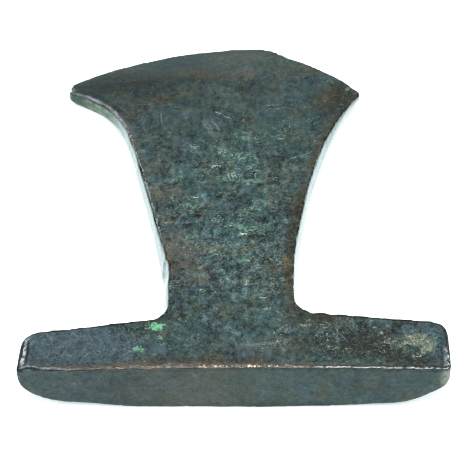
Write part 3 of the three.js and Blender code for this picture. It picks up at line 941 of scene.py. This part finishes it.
def lay_side_arris(tree, colour, mask, cloud, line, bare_metal_glint):
    # The arris round the sides: a dark line; along the left horn's rounded rim a painted
    # highlight with painted shade beside and under it; silvery where the shaft is worn;
    # and at the lug ends a painted lilac sheen with pale lumps, painted highlights on bare metal
    outline = times(tree, line["outline"], cloud["outline_breaks"])
    outline = either(tree, outline, times(tree, line["lug_outline"], mask["lug_rim"]))
    colour = lay(tree, colour, NEARLY_BLACK, outline, cover=0.9)
    # Painted shade on the top beside the horn's rim and on the wall just under it
    beside_rim = times(tree, line["beside_rim"], mask["horn_rim"], 0.45)
    under_rim = times(tree, line["under_rim"], mask["horn_rim"], 0.8)
    colour = lay(tree, colour, NEARLY_BLACK, either(tree, beside_rim, under_rim))
    # A painted highlight along the horn's rounded rim, lilac to blue
    rim = mix(tree, cloud["rim_hue"], LILAC_SHEEN, RIM_BLUE)
    rim_tone = spread(tree, cloud["rim_tone"], 0.4, 1.0)
    colour = lay(tree, colour, rim, line["rim"], mask["horn_rim"], rim_tone)
    below_worn = times(tree, line["below_worn"], mask["silver"])
    beside_worn = times(tree, line["beside_worn"], mask["silver"], 0.4)
    colour = lay(tree, colour, NEARLY_BLACK, either(tree, below_worn, beside_worn))
    silver_tone = spread(tree, cloud["silver"], 0.2, 1.0)
    colour = lay(tree, colour, SILVER, line["silver"], mask["silver"], silver_tone)
    colour = lay(tree, colour, NEARLY_BLACK, line["inner_line"], mask["lug_end"], cover=0.85)
    worn_end = times(tree, line["worn_end"], mask["lug_end"])
    # A lilac sheen painted over the worn strip
    colour = lay(tree, colour, LILAC_SHEEN, worn_end, cover=0.4)
    # Painted glints on the arrises and pale lumps on the lug ends' strips: painted highlights on
    # bare metal
    glints = times(tree, cloud["glints"], mask["glints"], line["glints"])
    shine = either(tree, times(tree, cloud["end_glints"], worn_end), glints)
    return lay(tree, colour, bare_metal_glint, shine), shine, below_worn


def lay_butt_arris(tree, colour, mask, cloud, line, bare_metal_glint):
    # The butt arris: painted shade under the lip, a flecked brown band, a lilac sheen,
    # a painted white highlight line, and gold glints, bare bronze painted bright as highlights
    colour = lay(tree, colour, NEARLY_BLACK, line["under_lip_shade"], cover=0.8)
    brown = times(tree, line["brown"], mask["lip_brown"], cloud["lip_rubbing"])
    colour = lay(tree, colour, LIP_BROWN, brown, cover=0.9)
    flecks = times(tree, cloud["lip_flecks"], mask["lip_brown"], line["flecks"])
    colour = lay(tree, colour, LIP_FLECK, flecks, cover=0.7)
    # A lilac sheen painted along the left end of the butt arris
    colour = lay(tree, colour, LILAC_SHEEN, line["lilac"], mask["lip_lilac"], cloud["lilac"])
    colour = lay(tree, colour, UMBER, line["dark_line"], mask["lip_bright"], cover=0.7)
    # A painted white highlight line along the butt arris
    white_line = times(tree, line["white_line"], mask["lip_bright"], cloud["line_breaks"])
    colour = lay(tree, colour, bare_metal_glint, white_line)
    # Gold glints: bare bronze painted bright as highlights
    gold = times(tree, cloud["gold"], mask["lip_gold"], line["gold"])
    return lay(tree, colour, BARE_GOLD_GLINT, gold), either(tree, gold, white_line)


def make_patina():
    material = bpy.data.materials.new("patinated_bronze")
    material.use_nodes = True
    tree = material.node_tree
    shader = tree.nodes["Principled BSDF"]

    # What limits the coats: the marks stored on the skin, noises, and bands along arrises
    straight = add(tree, "ShaderNodeTexCoord").outputs["Object"]
    curved = bend(tree, straight, *CURVING)
    vectors = {
        "straight": straight,
        "curved": curved,
        "streaked": move(tree, "MULTIPLY", straight, STREAKED),
        "lengthened": move(tree, "MULTIPLY", curved, LENGTHENED),
    }
    mask, cloud, line = {}, {}, {}
    for name in (*distances, *marks):
        mask[name] = add(tree, "ShaderNodeAttribute", attribute_name=name).outputs["Fac"]
    mask["rough_skin"] = calculate(tree, "SUBTRACT", 1.0, mask["smooth_skin"])
    for name, (kind, *settings) in CLOUDS.items():
        cloud[name] = clouds(tree, vectors[kind], *settings)
    wavering = {}
    for name, (start, layers) in WAVERS.items():
        wavering[name] = waver(tree, straight, mask[start], layers)
    for name, (kind, *limits) in BANDS.items():
        line[name] = band(tree, wavering[kind], *limits)

    # Pale blue-white for the painted highlights on bare metal
    bare_metal_glint = mix(tree, cloud["bare_metal_glint"], RIM_BLUE, BLUE_WHITE)
    colour, tone = lay_slate(tree, vectors, mask, cloud)
    colour = lay_stains(tree, colour, mask, cloud)
    colour, pale = lay_flecks(tree, colour, vectors, mask, cloud)
    colour, crumb, crust = lay_crusts(tree, colour, vectors, mask, cloud)
    colour = lay_wall_film(tree, colour, mask, cloud)
    colour, shine, below_worn = lay_side_arris(tree, colour, mask, cloud, line, bare_metal_glint)
    colour, bare_and_glints = lay_butt_arris(tree, colour, mask, cloud, line, bare_metal_glint)
    tree.links.new(colour, shader.inputs["Base Color"])

    # Bare metal and walls are smoother, crust and the strip under the worn slope rougher.
    # The bare metal, with its painted glints and painted white highlight line, is metallic and
    # smoother
    bare_and_glints = either(tree, bare_and_glints, shine)
    bare_metal = times(tree, bare_and_glints, METAL_OF_BARE)
    wall_metal = times(tree, mask["gloss"], METAL_OF_WALL)
    tree.links.new(either(tree, bare_metal, wall_metal), shader.inputs["Metallic"])
    rough = spread(tree, cloud["polish"], *ROUGHNESS)
    rough = add_share(tree, bare_and_glints, BARE_ROUGHER, rough)
    rough = add_share(tree, mask["gloss"], GLOSS_ROUGHER, rough)
    rough = add_share(tree, crust, CRUST_ROUGHER, rough)
    rough = add_share(tree, below_worn, BELOW_WORN_ROUGHER, rough)
    tree.links.new(rough, shader.inputs["Roughness"])
    tree.links.new(mask["gloss"], shader.inputs["Coat Weight"])
    shader.inputs["Coat Roughness"].default_value = COAT_ROUGHNESS
    shader.inputs["Specular IOR Level"].default_value = SPECULAR

    height = times(tree, tone, mask["rough_skin"])
    height = add_share(tree, pale, PALE_HEIGHT, height)
    height = add_share(tree, either(tree, crust, crumb), CRUST_HEIGHT, height)
    links = {"Height": height, "Strength": BUMP_STRENGTH, "Distance": BUMP_DEPTH}
    bump = add(tree, "ShaderNodeBump", links)
    tree.links.new(bump.outputs[0], shader.inputs["Normal"])
    return material


axe.data.materials.clear()
axe.data.materials.append(make_patina())
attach(axe, "root")
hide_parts("axe_head")


# Studio
# A plain white table under soft light from all round, seen from in front and above
# through a long lens, with the butt towards the camera.

CAMERA_PLACE = Vector((-0.3, -504.9, 588.6)) * MM
CAMERA_DOWN = math.radians(49.6)
FOCAL_PIXELS = 2600
FRAME_PIXELS = 465
SENSOR_WIDTH = 36
NEAREST_SEEN, FARTHEST_SEEN = 0.01, 50

lens = bpy.data.cameras.new("camera")
lens.sensor_fit = "HORIZONTAL"
lens.sensor_width = SENSOR_WIDTH
lens.lens = SENSOR_WIDTH * FOCAL_PIXELS / FRAME_PIXELS
lens.clip_start = NEAREST_SEEN
lens.clip_end = FARTHEST_SEEN
camera = bpy.data.objects.new("camera", lens)
camera.location = CAMERA_PLACE
camera.rotation_euler = (math.radians(90) - CAMERA_DOWN, 0, 0)
bpy.context.scene.collection.objects.link(camera)
bpy.context.scene.camera = camera

TABLE_HALF = 3.0
TABLE_PAINT = (0.76, 0.84, 0.84, 1)
TABLE_ROUGHNESS = 0.8
TABLE_GLOW = 0.35
grid = bmesh.new()
bmesh.ops.create_grid(grid, x_segments=1, y_segments=1, size=TABLE_HALF)
table_mesh = bpy.data.meshes.new("table")
grid.to_mesh(table_mesh)
grid.free()
floor = bpy.data.objects.new("table", table_mesh)
bpy.context.scene.collection.objects.link(floor)
white = bpy.data.materials.new("white_table")
white.use_nodes = True
white_shader = white.node_tree.nodes["Principled BSDF"]
white_shader.inputs["Base Color"].default_value = TABLE_PAINT
white_shader.inputs["Roughness"].default_value = TABLE_ROUGHNESS
white_shader.inputs["Emission Color"].default_value = TABLE_PAINT
white_shader.inputs["Emission Strength"].default_value = TABLE_GLOW
floor.data.materials.append(white)

# Softboxes: place and size in metres, and power in watts. All of them face the origin.
SOFTBOXES = [
    ("left_softbox", (-1.3, -0.5, 0.9), 1.2, 18),
    ("right_softbox", (1.3, -0.3, 0.9), 1.2, 16),
    ("overhead_softbox", (0.0, -0.5, 1.5), 1.2, 16),
]
origin = Vector((0, 0, 0))
for name, place, size, power in SOFTBOXES:
    light = bpy.data.lights.new(name, "AREA")
    light.size = size
    light.energy = power
    lamp = bpy.data.objects.new(name, light)
    lamp.location = place
    lamp.rotation_euler = (origin - Vector(place)).to_track_quat("-Z", "Y").to_euler()
    bpy.context.scene.collection.objects.link(lamp)

WORLD_STRENGTH = 0.7
PIXEL_FILTER = 1.1
world = bpy.data.worlds.new("studio")
world.use_nodes = True
world.node_tree.nodes["Background"].inputs["Color"].default_value = (1.0, 1.0, 1.0, 1)
world.node_tree.nodes["Background"].inputs["Strength"].default_value = WORLD_STRENGTH
bpy.context.scene.world = world
bpy.context.scene.view_settings.view_transform = "Standard"
bpy.context.scene.cycles.filter_width = PIXEL_FILTER
